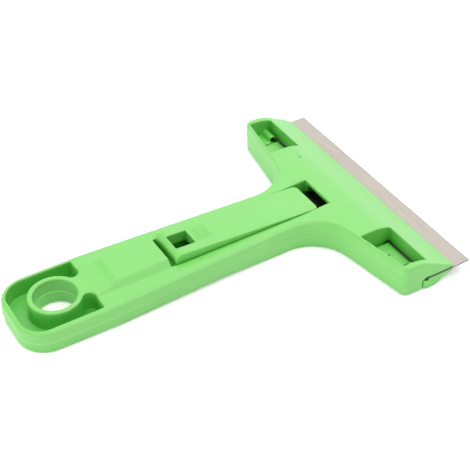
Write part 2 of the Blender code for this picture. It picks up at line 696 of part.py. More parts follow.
def cut_cover_seat(body):
    """The recess for the cover, the slots under the lever pin and the screw holes."""
    plan = rounded_outline(cover_plan(JOINT_X + OVERRUN), -GAP)
    seat = extrude("cover_seat", plan, "Z", CUT_BOTTOM, 0.0, tools)
    width = WING_HALF + OVERRUN
    layer = extrude("seat_layer", underside_strip(COVER_THICKNESS + GAP, OVERRUN), "Y", -width, width, tools)
    cut(body, common(seat, layer))
    for name, (x, y), level in cover_screws():
        hole_length = SCREW_LENGTH + SCREW_SINK + GAP
        hole = rod("pilot_" + name, (x, y, level), "Z", hole_length, SCREW_RADIUS + GAP, tools)
        cut(body, hole)


def cut_pin_seats(body):
    """Bores for the lever pin, with a slot up to it from below, and for the two hinge pins."""
    half = SLOT_HALF + PIVOT_PIN_BEARING + GAP
    bore_radius = PIVOT_PIN_RADIUS + GAP
    cut(body, rod("pivot_bore", (PIVOT_X, -half, PIVOT_Z), "Y", 2 * half, bore_radius, tools))
    entry_half = PIVOT_PIN_RADIUS + GAP / 2
    slot_x = (PIVOT_X - entry_half, PIVOT_X + entry_half)
    cut(body, block("pivot_entry", slot_x, (-half, half), (CUT_BOTTOM, PIVOT_Z), tools))
    start = WINDOW_INNER_Y - CORE_WALL - OVERRUN / 2
    stop = BAY_OUTER_Y + HINGE_PIN_DEPTH + GAP
    for side, name in ((1, "left"), (-1, "right")):
        place = (HINGE_X, min(side * start, side * stop), HINGE_Z)
        bore = rod("hinge_bore_" + name, place, "Y", stop - start, HINGE_PIN_RADIUS + GAP, tools)
        cut(body, bore)


def make_body():
    """The one-piece body: head, neck and handle."""
    plan = body_plan()
    rings = []
    for level, handle, head in body_levels():
        outline = rounded_outline(plan, body_insets(handle, head), WIDE_STEPS)
        rings.append([(x, y, level) for x, y in outline])
    body = loft("body", rings, parts)
    cut_side_profile(body)
    add_thumb_rest(body)
    cut_tail_pocket(body)
    cut_lever_slot(body)
    for side, name in ((1, "left"), (-1, "right")):
        cut_windows(body, side, name)
    cut_cover_seat(body)
    cut_jaw_space(body)
    cut_pin_seats(body)
    return body


def make_cover():
    """The cover that closes the handle from below and holds the lever pin up."""
    plan = rounded_outline(cover_plan(JOINT_X - GAP))
    cover = extrude("handle_cover", plan, "Z", CUT_BOTTOM, 0.0, parts)
    width = WING_HALF + OVERRUN
    common(cover, extrude("cover_layer", underside_strip(COVER_THICKNESS, 0.0), "Y", -width, width, tools))
    post_top = PIVOT_Z - PIVOT_PIN_RADIUS - GAP
    post_half = PIVOT_PIN_RADIUS - GAP / 2
    post_x = (PIVOT_X - post_half, PIVOT_X + post_half)
    post_inner = SLOT_HALF + GAP
    post_outer = SLOT_HALF + PIVOT_PIN_BEARING
    for side, name in ((1, "left"), (-1, "right")):
        post_y = span(side, post_inner, post_outer)
        post_z = (COVER_TOP_Z - COVER_THICKNESS / 2, post_top)
        join(cover, block("pin_post_" + name, post_x, post_y, post_z, tools))
    stop_z = (COVER_TOP_Z - COVER_THICKNESS / 2, SPRING_BOTTOM_Z + SPRING_THICKNESS)
    rear_stop = (SPRING_REAR_X - GAP - SPRING_STOP, SPRING_REAR_X - GAP)
    front_stop = (SPRING_FRONT_X + GAP, SPRING_FRONT_X + GAP + SPRING_STOP)
    for name, stop_x in (("rear", rear_stop), ("front", front_stop)):
        join(cover, block("spring_stop_" + name, stop_x, (-SPRING_HALF, SPRING_HALF), stop_z, tools))
    for name, (x, y), level in cover_screws():
        through = rod("clear_" + name, (x, y, level - OVERRUN), "Z", 2 * OVERRUN, SCREW_RADIUS + GAP, tools)
        cut(cover, through)
        cut(cover, screw_cone("sink_" + name, x, y, level, GAP, tools))
    return cover


def screw_cone(name, x, y, level, clearance, collection):
    """The countersunk head of a screw or, with a clearance, the sink that it lies in."""
    slope = (SCREW_HEAD_RADIUS - SCREW_RADIUS) / SCREW_HEAD_HEIGHT
    opened = 2 * SCREW_SINK if clearance else 0.0
    start = (x, y, level + SCREW_SINK - opened)
    wide = SCREW_HEAD_RADIUS + clearance + slope * opened
    height = SCREW_HEAD_HEIGHT + opened
    return rod(name, start, "Z", height, wide, collection, end_radius=SCREW_RADIUS + clearance)


def make_screw(name, x, y, level):
    """A countersunk tapping screw with a cross recess, driven up from below."""
    screw = screw_cone("cover_screw_" + name, x, y, level, 0.0, parts)
    root = level + SCREW_SINK + SCREW_HEAD_HEIGHT / 2
    shank_length = SCREW_LENGTH - SCREW_HEAD_HEIGHT / 2 - SCREW_RADIUS
    join(screw, rod("shank_" + name, (x, y, root), "Z", shank_length, SCREW_RADIUS, tools))
    tip_z = root + shank_length - GAP
    tip_length = SCREW_RADIUS + GAP
    tip = rod("tip_" + name, (x, y, tip_z), "Z", tip_length, SCREW_RADIUS - GAP / 3, tools, end_radius=GAP)
    join(screw, tip)
    reach = SCREW_HEAD_RADIUS * recess_length_share / 2
    half = RECESS_WIDTH / 2
    recess_z = (level - OVERRUN, level + SCREW_SINK + RECESS_DEPTH)
    cross = block("recess_" + name, (x - reach, x + reach), (y - half, y + half), recess_z, tools)
    arm = block("recess_arm_" + name, (x - half, x + half), (y - reach, y + reach), recess_z, tools)
    cut(screw, join(cross, arm))
    return screw


def lever_top(x):
    """Height of the lever's top at a place along it."""
    share = (x - LEVER_FRONT_X) / (LEVER_REAR_X - LEVER_FRONT_X)
    return -LEVER_FRONT_DROP + share * (LEVER_REAR_HEIGHT + LEVER_FRONT_DROP)


def make_lever():
    """The cam lever with its finger hole and grip ridges."""
    cam_left = PIVOT_X - CAM_RADIUS
    waist_x = cam_left - GAP
    waist_z = lever_top(waist_x) - LEVER_WAIST_THICKNESS
    rear_z = LEVER_REAR_HEIGHT - LEVER_REAR_THICKNESS
    corners = [
        (LEVER_REAR_X, rear_z, 0.0),
        (waist_x, waist_z, 0.0),
    ]
    corners += [(x, z, 0.0) for x, z in arc((PIVOT_X, CAM_Z), CAM_RADIUS, 180, 360, 2 * ROUND_STEPS)]
    corners += [
        (LEVER_FRONT_X, PIVOT_Z, 0.0),
        (LEVER_FRONT_X, -LEVER_FRONT_DROP, SIDE_PLAY),
        (LEVER_REAR_X, LEVER_REAR_HEIGHT, LEVER_REAR_ROUND),
    ]
    outline = rounded_outline(corners, steps=WIDE_STEPS)
    lever = extrude("lever", outline, "Y", -LEVER_HALF, LEVER_HALF, parts)
    plan_corners = [
        (LEVER_REAR_X - OVERRUN, -LEVER_HALF, 0.0),
        (LEVER_FRONT_X, -LEVER_HALF, LEVER_CORNER),
        (LEVER_FRONT_X, LEVER_HALF, LEVER_CORNER),
        (LEVER_REAR_X - OVERRUN, LEVER_HALF, 0.0),
    ]
    common(lever, extrude("lever_plan", rounded_outline(plan_corners), "Z", CUT_BOTTOM, CUT_TOP, tools))
    hole_x = (LEVER_REAR_X + GRIP_HOLE_REAR, LEVER_REAR_X + GRIP_HOLE_REAR + GRIP_HOLE)
    hole_y = (-GRIP_HOLE / 2, GRIP_HOLE / 2)
    for number in range(RIDGE_COUNT):
        x = hole_x[1] + RIDGE_START + number * RIDGE_PITCH
        top = lever_top(x)
        ridge = [(x - RIDGE_WIDTH / 2, top - RIDGE_HEIGHT), (x + RIDGE_WIDTH / 2, top - RIDGE_HEIGHT)]
        ridge += [(x + RIDGE_WIDTH / 4, top + RIDGE_HEIGHT), (x - RIDGE_WIDTH / 4, top + RIDGE_HEIGHT)]
        join(lever, extrude("ridge_%d" % number, ridge, "Y", -RIDGE_HALF, RIDGE_HALF, tools))
    cut(lever, block("grip_hole", hole_x, hole_y, (CUT_BOTTOM, CUT_TOP), tools))
    width = SLOT_HALF + OVERRUN
    cut(lever, rod("lever_bore", (PIVOT_X, -width, PIVOT_Z), "Y", 2 * width, PIVOT_PIN_RADIUS + GAP, tools))
    return lever


def make_lever_pin():
    """The steel pin that the lever turns on."""
    half = SLOT_HALF + PIVOT_PIN_BEARING
    return rod("lever_pin", (PIVOT_X, -half, PIVOT_Z), "Y", 2 * half, PIVOT_PIN_RADIUS, parts)


def make_hinge_pin(side, name):
    """One steel pin of the jaw's hinge."""
    start = WINDOW_INNER_Y - CORE_WALL
    stop = BAY_OUTER_Y + HINGE_PIN_DEPTH
    low = min(side * start, side * stop)
    return rod("jaw_pin_" + name, (HINGE_X, low, HINGE_Z), "Y", stop - start, HINGE_PIN_RADIUS, parts)


def make_jaw():
    """The wedge under the blade, its two hinge blocks and its tail under the cam."""
    belly_front_x = JAW_REAR_X + JAW_BELLY_X + JAW_HEEL_X
    tip_x = LIP_X - JAW_TIP_SETBACK
    seat_x = BLADE_BACK_X + GROOVE_WIDTH
    corners = [
        (JAW_REAR_X, JAW_HEEL_RISE - JAW_BELLY, JAW_ROUND / 2),
        (JAW_REAR_X + JAW_HEEL_X, -JAW_BELLY, JAW_ROUND),
        (belly_front_x, -JAW_BELLY, JAW_ROUND),
        (tip_x, JAW_SEAT_Z - JAW_TIP_THICKNESS, 0.0),
        (tip_x, JAW_SEAT_Z, 0.0),
        (seat_x, JAW_SEAT_Z, 0.0),
        (seat_x - GAP, JAW_SEAT_Z - JAW_NOTCH_DEPTH, 0.0),
        (JAW_REAR_X, JAW_SEAT_Z - GAP, 0.0),
    ]
    half = HEAD_HALF - JAW_END_SETBACK
    jaw = extrude("clamp_jaw", rounded_outline(corners), "Y", -half, half, parts)
    setback = WINDOW_REAR_WALL + HINGE_REAR_GAP
    for side, name in ((1, "left"), (-1, "right")):
        plan = beside_rear(side, BLOCK_INNER_Y, BLOCK_OUTER_Y, setback, BLOCK_FRONT_X)
        join(jaw, extrude("hinge_block_" + name, plan, "Z", -HEAD_HEIGHT, -WINDOW_FLOOR, tools))
    tail_y = (-TAIL_HALF, TAIL_HALF)
    root_end = BLOCK_FRONT_X - GAP
    tail = block("jaw_tail", (TAIL_END_X, root_end), tail_y, (TAIL_BOTTOM_Z, TAIL_TOP_Z), tools)
    root_z = (HINGE_Z - HINGE_PIN_RADIUS, TAIL_TOP_Z)
    join(jaw, join(tail, block("tail_root", (JAW_REAR_X, root_end), tail_y, root_z, tools)))
    for side, name in ((1, "left"), (-1, "right")):
        stake_z = (TAIL_TOP_Z + TAIL_BOTTOM_Z) / 2
        stake_start = (STAKE_X, side * STAKE_Y, stake_z)
        stake_length = PLATE_TOP_Z + GAP - stake_z
        join(jaw, rod("stake_" + name, stake_start, "Z", stake_length, STAKE_RADIUS, tools))
        low = side * (BLOCK_INNER_Y + BLOCK_OUTER_Y) / 2 - WINDOW_WIDTH / 2
        bore_start = (HINGE_X, low, HINGE_Z)
        bore_radius = HINGE_PIN_RADIUS + GAP
        cut(jaw, rod("block_bore_" + name, bore_start, "Y", WINDOW_WIDTH, bore_radius, tools))
    return jaw


def sheet(points, thickness):
    """The outline of a bent sheet, from the points along its upper side."""
    ways = [(Vector(after) - Vector(before)).normalized() for before, after in zip(points, points[1:])]
    under = []
    for (u, v), before, after in zip(points, ways[:1] + ways, ways + ways[-1:]):
        square = Vector((before.y + after.y, -before.x - after.x))
        move = square * thickness / (1 + before.dot(after))
        under.append((u + move.x, v + move.y))
    return points + under[::-1]


def make_pressure_plate():
    """The bent steel plate on the jaw's tail: flat under the cam, with a sloping guard before it."""
    half = TAIL_HALF - PLATE_SIDE_SETBACK
    bottom = PLATE_TOP_Z - PLATE_THICKNESS
    side_view = [
        (TAIL_END_X + PLATE_REAR_SETBACK, PLATE_TOP_Z),
        (CREST_X - GUARD_RUN, PLATE_TOP_Z),
        (CREST_X, -GUARD_DROP),
        (PLATE_FRONT_X, -GUARD_DROP - GUARD_FALL),
    ]
    plate = extrude("pressure_plate", sheet(side_view, PLATE_THICKNESS), "Y", -half, half, parts)
    for side, name in ((1, "left"), (-1, "right")):
        start = (STAKE_X, side * STAKE_Y, bottom - OVERRUN)
        hole = rod("stake_hole_" + name, start, "Z", 2 * OVERRUN, STAKE_RADIUS + GAP, tools)
        cut(plate, hole)
    return plate


def make_return_spring():
    """The bowed leaf that lifts the tail when the lever is raised."""
    middle = (SPRING_REAR_X + SPRING_FRONT_X) / 2
    half_length = (SPRING_FRONT_X - SPRING_REAR_X) / 2
    under = []
    for step in range(SPRING_STEPS + 1):
        share = 2 * step / SPRING_STEPS - 1
        under.append((middle + half_length * share, SPRING_BOTTOM_Z + SPRING_BOW * (1 - share * share)))
    over = [(x, z + SPRING_THICKNESS) for x, z in reversed(under)]
    return extrude("return_spring", under + over, "Y", -SPRING_HALF, SPRING_HALF, parts)


def make_blade():
    """The straight blade with both faces ground to the edge."""
    middle = (BLADE_TOP_Z + BLADE_BOTTOM_Z) / 2
    grind_x = BLADE_FRONT_X - EDGE_GRIND
    outline = [
        (BLADE_BACK_X, BLADE_BOTTOM_Z),
        (grind_x, BLADE_BOTTOM_Z),
        (BLADE_FRONT_X, middle - EDGE_LAND / 2),
        (BLADE_FRONT_X, middle + EDGE_LAND / 2),
        (grind_x, BLADE_TOP_Z),
        (BLADE_BACK_X, BLADE_TOP_Z),
    ]
    return extrude("blade", outline, "Y", -BLADE_WIDTH / 2, BLADE_WIDTH / 2, parts)


def make_axis(name, x, z):
    """An empty on a joint's axis."""
    axis = bpy.data.objects.new(name, None)
    parts.objects.link(axis)
    axis.parent = datum
    axis.location = (x, 0, z)
    return axis


def hang(piece, axis):
    """Carry a piece, and the tools that shape it, on a joint's axis."""
    followers = [piece]
    for follower in followers:
        followers += [step.object for step in follower.modifiers if step.type == "BOOLEAN"]
    for follower in followers:
        follower.parent = axis
        follower.location = -axis.location


def paint(piece, material, smooth_angle=30):
    """Give a piece its material, with smooth shading over gentle facets only."""
    piece.data.materials.append(material)
    piece.data.shade_smooth()
    piece.data.set_sharp_from_angle(angle=radians(smooth_angle))


clear_scene()
parts = make_collection("adhesive_scraper")
tools = make_collection("cutters")
datum = bpy.data.objects.new("datum", None)
parts.objects.link(datum)
datum.location = (-(BLADE_FRONT_X + TAIL_X) / 2, 0, JAW_BELLY)

green_plastic = make_material("green_plastic", (0.33, 0.83, 0.24), 0.38)
blade_steel = make_material("blade_steel", (0.62, 0.59, 0.56), 0.3, 1.0)
pin_steel = make_material("pin_steel", (0.55, 0.55, 0.56), 0.28, 1.0)
spring_steel = make_material("spring_steel", (0.10, 0.10, 0.11), 0.4, 1.0)

lever_axis = make_axis("lever_axis", PIVOT_X, PIVOT_Z)
jaw_axis = make_axis("jaw_axis", HINGE_X, HINGE_Z)

paint(make_body(), green_plastic)
paint(make_cover(), green_plastic)
for screw_name, (screw_x, screw_y), screw_level in cover_screws():
    paint(make_screw(screw_name, screw_x, screw_y, screw_level), pin_steel)
paint(make_lever_pin(), pin_steel)
for pin_side, pin_name in ((1, "left"), (-1, "right")):
    paint(make_hinge_pin(pin_side, pin_name), pin_steel)
paint(make_return_spring(), spring_steel)
paint(make_blade(), blade_steel)

lever_piece = make_lever()
paint(lever_piece, green_plastic)
hang(lever_piece, lever_axis)
jaw_piece = make_jaw()
plate_piece = make_pressure_plate()
paint(jaw_piece, green_plastic)
paint(plate_piece, spring_steel)
hang(jaw_piece, jaw_axis)
hang(plate_piece, jaw_axis)
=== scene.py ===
"""Looks of the adhesive scraper: fine moulded surfaces, materials, camera and plain studio light.

Lengths are metres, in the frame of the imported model: +X from the hanging hole towards the blade,
+Y along the blade and +Z up. The origin is under the middle of the part, level with its lowest point.
"""
from itertools import product
from math import atan, ceil, cos, radians, sin

import bmesh
import bpy
import numpy as np
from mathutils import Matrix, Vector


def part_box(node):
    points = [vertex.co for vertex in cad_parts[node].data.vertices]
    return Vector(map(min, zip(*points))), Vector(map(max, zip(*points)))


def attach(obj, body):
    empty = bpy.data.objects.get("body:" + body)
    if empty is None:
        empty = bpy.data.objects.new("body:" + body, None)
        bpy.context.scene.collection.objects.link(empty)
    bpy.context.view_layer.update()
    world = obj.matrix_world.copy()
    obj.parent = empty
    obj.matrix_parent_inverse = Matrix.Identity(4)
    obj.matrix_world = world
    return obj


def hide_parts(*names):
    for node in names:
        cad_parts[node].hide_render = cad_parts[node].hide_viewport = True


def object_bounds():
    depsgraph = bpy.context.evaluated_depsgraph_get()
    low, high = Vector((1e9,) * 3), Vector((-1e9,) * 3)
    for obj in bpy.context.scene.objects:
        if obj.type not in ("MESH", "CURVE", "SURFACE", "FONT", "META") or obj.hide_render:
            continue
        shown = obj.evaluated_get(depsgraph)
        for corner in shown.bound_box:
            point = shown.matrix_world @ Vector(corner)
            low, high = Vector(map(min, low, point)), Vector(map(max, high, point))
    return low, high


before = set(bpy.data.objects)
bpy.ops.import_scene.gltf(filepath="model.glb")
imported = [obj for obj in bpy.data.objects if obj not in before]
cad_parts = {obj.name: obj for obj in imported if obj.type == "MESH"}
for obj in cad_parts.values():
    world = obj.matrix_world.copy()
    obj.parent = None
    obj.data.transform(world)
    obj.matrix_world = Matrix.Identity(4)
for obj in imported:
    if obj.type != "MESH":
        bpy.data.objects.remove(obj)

import openvdb
from mathutils import Matrix, Vector

MM = 0.001
cad_low, cad_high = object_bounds()

# Camera, fitted to the photograph's outlines
CAMERA_AZIMUTH = radians(-29.33)
CAMERA_ELEVATION = radians(39.661)
CAMERA_ROLL = radians(-2.0)
CAMERA_DISTANCE = 585.553 * MM
CAMERA_LENS = 90.03             # focal length in millimetres
CAMERA_SENSOR = 36.0            # width in millimetres
CAMERA_CLIP = 10 * MM
CAMERA_AIM = Vector((11.498 * MM, -7.971 * MM, 18.4 * MM))

# Fine surfaces
MERGE = 0.001 * MM              # corners closer than this are one corner
BAND = 6                        # cells of the distance field kept on each side of the surface
FLATNESS = 0.02                 # how readily flat stretches become larger faces
NORMAL_REACH = 1.5              # cells on each side that a normal is measured over
BLUR_REACH = 3                  # spreads on each side that a blur or a bead takes in
DENT_REACH = 4                  # spreads round a dent that are reshaped

# Edges of the metal pieces
FLAT_ANGLE = radians(1)         # faces that turn by less become one face
SHARP_ANGLE = radians(35)       # edges that turn by more are shaded sharp
BEVEL_ANGLE = radians(40)       # edges that turn by more are bevelled
BEVEL_SEGMENTS = 2
BLADE_BEVEL = 0.04 * MM
PIN_BEVEL = 0.08 * MM
PLATE_BEVEL = 0.1 * MM
SPRING_BEVEL = 0.05 * MM

# Moulded pieces: the cells of their fields, how far edges are rounded and where that changes
BODY_CELL = 0.3 * MM
TAIL_ROUND = 0.4 * MM
HEAD_ROUND = 0.2 * MM
REST_ZONE = 36 * MM             # how far behind the lever the body is crisp already
REST_BLEND = 5 * MM             # length over which it changes
LEVER_CELL = 0.14 * MM
LEVER_ROUND = 0.24 * MM
GRIP_ROUND = 0.1 * MM
GRIP_START = 15.2 * MM          # lever rear to the ridges
GRIP_LENGTH = 10.4 * MM
GRIP_BLEND = 1 * MM
UNDER_CELL = 0.25 * MM          # for the jaw and the cover
UNDER_ROUND = 0.2 * MM

# Marks that moulding left
PARTING_HEIGHT = 10.9 * MM      # world height of the seam on the outer walls
PARTING_BEAD = 0.26 * MM
PARTING_SPREAD = 0.42 * MM
WALL_STEPS = (1, -1, 2, -2)     # cells that the outside is moved by in turn, to take in the walls' skin
SCAR_START = Vector((75.5 * MM, 34.6 * MM, 18.4 * MM))
SCAR_BOW = Vector((74.7 * MM, 32.7 * MM, 18.4 * MM))
SCAR_END = Vector((74.8 * MM, 30.5 * MM, 18.4 * MM))
SCAR_STEPS = 12                 # places along the scar, less one
SCAR_DEPTH = 0.9 * MM
SCAR_SHALLOW_SHARE = 0.45       # of that depth, where the scar starts
SCAR_SPREAD = 0.42 * MM
PIT_PLACE = Vector((74.7 * MM, -51.5 * MM, 7.9 * MM))
PIT_DEPTH = 0.9 * MM
PIT_SPREAD = 0.5 * MM

# Noises: cells in a metre, octaves, a scale for each axis, small where they are drawn out, and twist
PLASTIC_CLOUD = dict(scale=38.0, detail=4.0, distortion=0.4)
PLASTIC_FLOW = dict(scale=60.0, detail=3.0, stretch=(0.25, 2.2, 2.2))
PLASTIC_GRAIN = dict(scale=2600.0, detail=2.0)
PLASTIC_DIMPLE = dict(scale=700.0, detail=2.0)
PLASTIC_SCUFF = dict(scale=420.0, detail=5.0, stretch=(1.0, 0.16, 1.0), distortion=1.2)
BLADE_STROKES = dict(scale=900.0, detail=4.0, stretch=(1.0, 0.06, 1.0))
BLADE_DUST = dict(scale=1500.0, detail=3.0)
BLADE_CLOUD = dict(scale=70.0, detail=4.0, distortion=0.8)
PIN_STROKES = dict(scale=1500.0, detail=4.0, stretch=(1.0, 1.0, 0.2))
SPRING_STROKES = dict(scale=900.0, detail=4.0, stretch=(0.1, 1.0, 1.0))
STEEL_CLOUD = dict(scale=90.0, detail=4.0, distortion=0.6)

# Ramps: where a noise starts to count and where it counts in full
TINT_RAMP = (0.3, 0.7)
PATCH_RAMP = (0.45, 0.75)
ROUGH_RAMP = (0.25, 0.75)
GRAIN_RAMP = (0.2, 0.8)
SCUFF_RAMP = (0.62, 0.72)
SPECK_RAMP = (0.62, 0.74)
DULL_RAMP = (0.4, 0.7)

# Green plastic: linear colours, roughness, and the strength and depth of its bumps
PLASTIC_DEEP = (0.175, 0.585, 0.110)
PLASTIC_LIGHT = (0.190, 0.605, 0.122)
PLASTIC_PALE = (0.215, 0.635, 0.142)
PALE_SHARE = 0.35
SATIN = (0.33, 0.41)
GRAIN_ROUGH = 0.03              # what the grain takes off the roughness or adds to it
SCUFF_ROUGH = 0.08              # and what the scuffs add
DIMPLE_BUMP = (0.10, 0.06 * MM)
GRAIN_BUMP = (0.12, 0.02 * MM)
PLASTIC_IOR = 1.5
PLASTIC_SHINE = 0.9
SEAM_WIDTH = 0.45 * MM          # the painted highlight: a paler line at the seam's bead
SEAM_STRENGTH = 0.4
SEAM_FADE = (-70 * MM, 0)       # it is full behind the first place and gone ahead of the second
SEAM_HIGHLIGHT_COLOUR = (0.42, 0.80, 0.34)
# Painted shade: a darker green in narrow gaps and recesses, where less light reaches them
GAP_REACH = 14 * MM             # surfaces nearer than this close a place in, and there shade is painted as a darker green
GAP_EDGES = (0.3, 0.65)         # open share of the view out where that is full and where it starts
GAP_FACING = (-0.6, -0.2)       # a face's upward share where it is left out and where it is full
GAP_SHADE_COLOUR = (0.080, 0.51, 0.048)
GAP_SAMPLES = 8
# Painted shade inside the scar and the pit
DENT_SHADE_COLOUR = (0.03, 0.20, 0.015)
DENT_SHADE_SPOTS = (                       # place, radius and strength of each spot of painted shade in the scar and the pit
    (SCAR_START, 0.8 * MM, 0.4),
    (SCAR_BOW, 0.9 * MM, 0.45),
    (SCAR_END, 1.25 * MM, 1.0),
    (PIT_PLACE, 1.1 * MM, 0.9),
)
SPOT_CORE_SHARE = 0.4           # of a spot's radius, where it has its full strength
LINE_CORE_SHARE = 0.3           # of a line's half width, likewise

# Blade steel
BLADE_DARK = (0.36, 0.325, 0.29)
BLADE_LIGHT = (0.41, 0.375, 0.33)
BLADE_STAIN = (0.34, 0.315, 0.28)
STAIN_SHARE = 0.7
BLADE_SPECK = (0.31, 0.285, 0.255)
SPECK_SHARE = 0.5
BLADE_EDGE = (0.26, 0.25, 0.235)
EDGE_WIDTH = 0.7 * MM
EDGE_FULL_SHARE = 0.8           # of that width, where the ground edge has its full colour
BLADE_SHEAR = (0.11, 0.11, 0.11)
SHEAR_SKIN = 0.1 * MM
SHEAR_FULL_SHARE = 0.5
BLADE_ROUGH = (0.30, 0.40)
BLADE_DULL = 0.06               # what the cloud adds to the roughness
BLADE_BUMP = (0.22, 0.02 * MM)

# Other steels
PIN_DARK = (0.50, 0.50, 0.51)
PIN_LIGHT = (0.62, 0.62, 0.63)
PIN_ROUGH = 0.27
SPRING_DARK = (0.035, 0.036, 0.038)
SPRING_LIGHT = (0.065, 0.066, 0.070)
SPRING_ROUGH = 0.32
STEEL_SPREAD = (-0.05, 0.07)    # what the strokes take off the roughness and add to it
STEEL_STAIN = 0.93              # how bright a stain is beside the dark tint
STEEL_STAIN_SHARE = 0.6
STEEL_BUMP = (0.25, 0.02 * MM)

# Numbers of a Mix node's colour sockets, which share their names with its other sockets
MIX_INPUTS = (6, 7)
MIX_OUTPUT = 2

# Light: levels of the sky on matt surfaces and in reflections, and angles in degrees
SKY_LEVEL = 0.155
SKY_GLOSS = 0.70
SOFTBOXES = (                   # azimuth, elevation, full within, gone beyond, level, level in reflections
    (310, 77, 16, 52, 2.5, 0.0),
    (168, 16, 10, 41, 2.4, 0.0),
    (5, 35, 42, 78, 0.0, 1.05),
)
HORIZON_EDGES = (6, 16)         # elevations where the horizon's glow starts to fade and is gone
HORIZON_LEVEL = 0.5
HORIZON_GLOSS = 0.15
FLOOR_COLOUR = (0.93, 0.93, 0.93)
FLOOR_GLOW = 0.3                # what the floor adds to its lit colour for the camera
FLOOR_GLOSS = 0.2               # and in reflections
FLOOR_SIZE = 4.0
FLOOR_GRID = 8
FLOOR_GAP = 0.05 * MM
TAIL_UNDERSIDE = 4.4 * MM       # world height of the handle's underside
HEAD_REGION = 50 * MM           # the floor touches the head ahead of this place


def corners_and_triangles(node):
    """The points and triangles of a CAD node, with shared corners merged."""
    bm = bmesh.new()
    bm.from_mesh(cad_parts[node].data)
    bmesh.ops.remove_doubles(bm, verts=bm.verts, dist=MERGE)
    points = np.array([v.co[:] for v in bm.verts], np.float32)
    triangles = np.array([[v.index for v in f.verts] for f in bm.faces], np.uint32)
    bm.free()
    return points, triangles


def distance_field(points, triangles, cell):
    """Signed distance to a closed surface on a grid, and the grid index of the array's first cell."""
    transform = openvdb.createLinearTransform(voxelSize=cell)
    grid = openvdb.FloatGrid.createLevelSetFromPolygons(
        points, triangles=triangles, transform=transform, halfWidth=BAND)
    low, high = (np.array(corner) for corner in grid.evalActiveVoxelBoundingBox())
    low = low - BAND
    field = np.zeros(high + BAND - low + 1, np.float32)
    grid.copyToArray(field, ijk=tuple(int(i) for i in low))
    return field, low


def soften(field, spread):
    """Blur a distance field, which rounds edges and corners and leaves flat faces where they are."""
    reach = ceil(BLUR_REACH * spread)
    steps = range(-reach, reach + 1)
    weights = np.array([np.exp(-0.5 * (step / spread) ** 2) for step in steps], np.float32)
    weights /= weights.sum()
    for axis in range(3):
        field = sum(weight * np.roll(field, step, axis) for step, weight in zip(steps, weights))
    return field


def sample(field, places):
    """Values of a field between its cells."""
    base = np.floor(places).astype(int)
    part = places - base
    total = np.zeros(len(places))
    for corner in product((0, 1), repeat=3):
        weight = np.prod(np.where(corner, part, 1 - part), axis=1)
        total += weight * field[tuple((base + corner).T)]
    return total


def surface_normals(field, places):
    """Unit normals of the surface, measured over a few cells so that facets don't show."""
    normals = np.zeros((len(places), 3))
    for axis in range(3):
        step = np.zeros(3)
        step[axis] = NORMAL_REACH
        normals[:, axis] = sample(field, places + step) - sample(field, places - step)
    return normals / np.linalg.norm(normals, axis=1, keepdims=True)


def surface_object(name, field, low, cell):
    """The mesh object where a field is zero."""
    grid = openvdb.FloatGrid(BAND * cell)
    grid.transform = openvdb.createLinearTransform(voxelSize=cell)
    grid.copyFromArray(field, ijk=tuple(int(i) for i in low))
    points, triangles, quads = grid.convertToPolygons(isovalue=0.0, adaptivity=FLATNESS)
    faces = triangles.tolist() + quads.tolist()
    mesh = bpy.data.meshes.new(name)
    mesh.from_pydata(points.tolist(), [], faces)
    mesh.shade_smooth()
    mesh.normals_split_custom_set_from_vertices(surface_normals(field, points / cell - low))
    piece = bpy.data.objects.new(name, mesh)
    bpy.context.scene.collection.objects.link(piece)
    return piece


def ease(value, start, stop):
    """0 before the start, 1 after the stop and smooth between them."""
    share = np.clip((value - start) / (stop - start), 0, 1)
    return share * share * (3 - 2 * share)


def places_along(field, low, cell, axis):
    """World places of the cells along one axis, shaped to fit the field."""
    shape = [1, 1, 1]
    shape[axis] = field.shape[axis]
    return ((np.arange(field.shape[axis]) + low[axis]) * cell).astype(np.float32).reshape(shape)


def blended(field, low, cell, soft, crisp, crispness):
    """A field softened by two amounts, mixed by a function of the place along X."""
    share = crispness(places_along(field, low, cell, 0))
    softer = soften(field, soft / cell)
    return softer + (soften(field, crisp / cell) - softer) * share


def near(field, low, cell, place, reach):
    """The part of a field round a place, and the place of each of its cells."""
    middle = np.round(np.array(place) / cell).astype(int) - low
    span = ceil(reach / cell)
    part = tuple(slice(max(i - span, 0), i + span + 1) for i in middle)
    axes = [(np.arange(s.start, s.start + n) + first) * cell
            for s, n, first in zip(part, field[part].shape, low)]
    return field[part], np.stack(np.meshgrid(*axes, indexing="ij"), axis=-1)


def dent(field, low, cell, route, depths, spread):
    """Press a groove or pit into a surface along a route of places."""
    middle = sum(route, Vector()) / len(route)
    reach = max((place - middle).length for place in route) + DENT_REACH * spread
    part, places = near(field, low, cell, middle, reach)
    pressed = np.zeros(part.shape)
    for place, depth in zip(route, depths):
        away = np.linalg.norm(places - np.array(place), axis=-1)
        pressed = np.maximum(pressed, depth * np.exp(-(away / spread) ** 2))
    part += pressed.astype(np.float32)


def open_sides(solid):
    """Cells of a slice that are free all the way to one of its four borders."""
    free = np.zeros_like(solid)
    for axis in (0, 1):
        for step in (1, -1):
            turned = np.flip(solid, axis) if step < 0 else solid
            reached = ~np.maximum.accumulate(turned, axis=axis)
            free |= np.flip(reached, axis) if step < 0 else reached
    return free


def add_seam(field, low, cell):
    """A fine bead where the mould's halves met, on the outer walls alone."""
    middle = round(PARTING_HEIGHT / cell) - low[2]
    outside = open_sides(field[:, :, middle] < 0)
    for axis in (0, 1):
        for step in WALL_STEPS:
            outside |= np.roll(outside, step, axis)
    reach = ceil(BLUR_REACH * PARTING_SPREAD / cell)
    for index in range(middle - reach, middle + reach + 1):
        away = (index + low[2]) * cell - PARTING_HEIGHT
        field[:, :, index] -= PARTING_BEAD * np.exp(-(away / PARTING_SPREAD) ** 2) * outside


